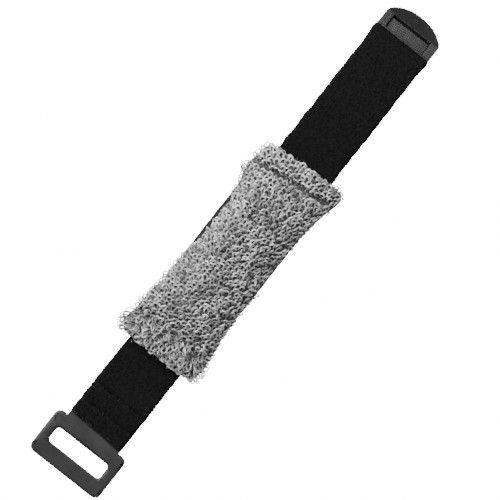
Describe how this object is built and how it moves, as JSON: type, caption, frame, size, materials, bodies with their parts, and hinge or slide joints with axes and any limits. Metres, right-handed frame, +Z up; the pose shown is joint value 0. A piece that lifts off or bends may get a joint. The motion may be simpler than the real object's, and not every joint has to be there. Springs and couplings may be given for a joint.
{
  "type": "sweat wristband",
  "caption": "Flat open wrist strap with a slot buckle at one end, a hook patch at the other, and a stuffed grey terry pad sewn across its middle.",
  "frame": {"origin": "middle of the open band's footprint, on the surface it lies on", "axes": "+X along the strap from the buckle to the tip, Y across the strap, +Z up out of the terry face"},
  "size_m": [0.22, 0.039, 0.0096],
  "materials": {
    "buckle_plastic": "satin moulded plastic, dark grey",
    "pile_cloth": "black brushed loop-pile cloth",
    "lining_cloth": "black knitted lining",
    "terry": "grey melange terry loops",
    "pad_foam": "open-cell foam filling",
    "backing_cloth": "black close-knit backing",
    "hook_plastic": "moulded micro-hook tape, black",
    "thread_black": "black polyester thread",
    "thread_grey": "grey polyester thread"
  },
  "bodies": {
    "buckle_end": {"slot_buckle": "buckle_plastic", "sewn_end_top_ply": "pile_cloth", "sewn_end_under_ply": "lining_cloth", "buckle_stitches_1": "thread_black", "buckle_stitches_2": "thread_black"},
    "strap_left": {"strap_panel_left": "pile_cloth"},
    "pad_1": {"strap_under_pad_1": "pile_cloth", "pad_backing_1": "backing_cloth", "pad_foam_1": "pad_foam", "terry_cover_1": "terry", "side_seam_front_1": "thread_black", "side_seam_back_1": "thread_black", "end_seam_left": "thread_grey"},
    "pad_2": {"strap_under_pad_2": "pile_cloth", "pad_backing_2": "backing_cloth", "pad_foam_2": "pad_foam", "terry_cover_2": "terry", "side_seam_front_2": "thread_black", "side_seam_back_2": "thread_black"},
    "pad_3": {"strap_under_pad_3": "pile_cloth", "pad_backing_3": "backing_cloth", "pad_foam_3": "pad_foam", "terry_cover_3": "terry", "side_seam_front_3": "thread_black", "side_seam_back_3": "thread_black"},
    "pad_4": {"strap_under_pad_4": "pile_cloth", "pad_backing_4": "backing_cloth", "pad_foam_4": "pad_foam", "terry_cover_4": "terry", "side_seam_front_4": "thread_black", "side_seam_back_4": "thread_black"},
    "pad_5": {"strap_under_pad_5": "pile_cloth", "pad_backing_5": "backing_cloth", "pad_foam_5": "pad_foam", "terry_cover_5": "terry", "side_seam_front_5": "thread_black", "side_seam_back_5": "thread_black", "end_seam_right": "thread_grey"},
    "strap_right_1": {"strap_panel_right_1": "pile_cloth"},
    "strap_right_2": {"strap_panel_right_2": "pile_cloth"},
    "fold_strip": {"strap_panel_fold": "pile_cloth"},
    "tail": {"strap_panel_tail": "pile_cloth"},
    "tip": {"strap_tip": "pile_cloth", "hook_patch": "hook_plastic"}
  },
  "joints": [
    {"name": "wrap", "type": "hinge", "parent": "pad_3", "child": "pad_4", "pos_m": [0.00224, 0, 0], "axis": [0, 1, 0], "range_deg": [-4, 27]},
    {"name": "pad_bend_right", "type": "hinge", "parent": "pad_4", "child": "pad_5", "pos_m": [0.02052, 0, 0], "axis": [0, 1, 0], "range_deg": [-4, 27]},
    {"name": "strap_bend_right", "type": "hinge", "parent": "pad_5", "child": "strap_right_1", "pos_m": [0.04, 0, 0], "axis": [0, 1, 0], "range_deg": [-6.62, 44.1]},
    {"name": "strap_bend_middle", "type": "hinge", "parent": "strap_right_1", "child": "strap_right_2", "pos_m": [0.0575, 0, 0], "axis": [0, 1, 0], "range_deg": [-6.62, 44.1]},
    {"name": "tail_fold", "type": "hinge", "parent": "strap_right_2", "child": "fold_strip", "pos_m": [0.074, 0, 0.0016], "axis": [0, -1, 0], "range_deg": [-8, 90]},
    {"name": "tail_return", "type": "hinge", "parent": "fold_strip", "child": "tail", "pos_m": [0.0774, 0, 0.0016], "axis": [0, -1, 0], "range_deg": [-8, 90]},
    {"name": "tail_curve", "type": "hinge", "parent": "tail", "child": "tip", "pos_m": [0.0939, 0, 0.0016], "axis": [0, -1, 0], "range_deg": [-6.62, 44.1]},
    {"name": "pad_bend_middle", "type": "hinge", "parent": "pad_3", "child": "pad_2", "pos_m": [-0.01604, 0, 0], "axis": [0, -1, 0], "range_deg": [-4, 27]},
    {"name": "pad_bend_left", "type": "hinge", "parent": "pad_2", "child": "pad_1", "pos_m": [-0.03432, 0, 0], "axis": [0, -1, 0], "range_deg": [-4, 27]},
    {"name": "strap_bend_left", "type": "hinge", "parent": "pad_1", "child": "strap_left", "pos_m": [-0.054, 0, 0], "axis": [0, -1, 0], "range_deg": [-6.62, 44.1]},
    {"name": "buckle_tilt", "type": "hinge", "parent": "strap_left", "child": "buckle_end", "pos_m": [-0.072, 0, 0.0008], "axis": [0, -1, 0], "range_deg": [-30, 40]}
  ],
  "couplings": [
    {"joint": "pad_bend_right", "follows": "wrap", "ratio": 1},
    {"joint": "pad_bend_middle", "follows": "wrap", "ratio": 1},
    {"joint": "pad_bend_left", "follows": "wrap", "ratio": 1},
    {"joint": "strap_bend_right", "follows": "wrap", "ratio": 1.6296},
    {"joint": "strap_bend_middle", "follows": "wrap", "ratio": 1.6296},
    {"joint": "strap_bend_left", "follows": "wrap", "ratio": 1.6296},
    {"joint": "tail_curve", "follows": "wrap", "ratio": 1.6296},
    {"joint": "tail_return", "follows": "tail_fold", "ratio": 1}
  ]
}
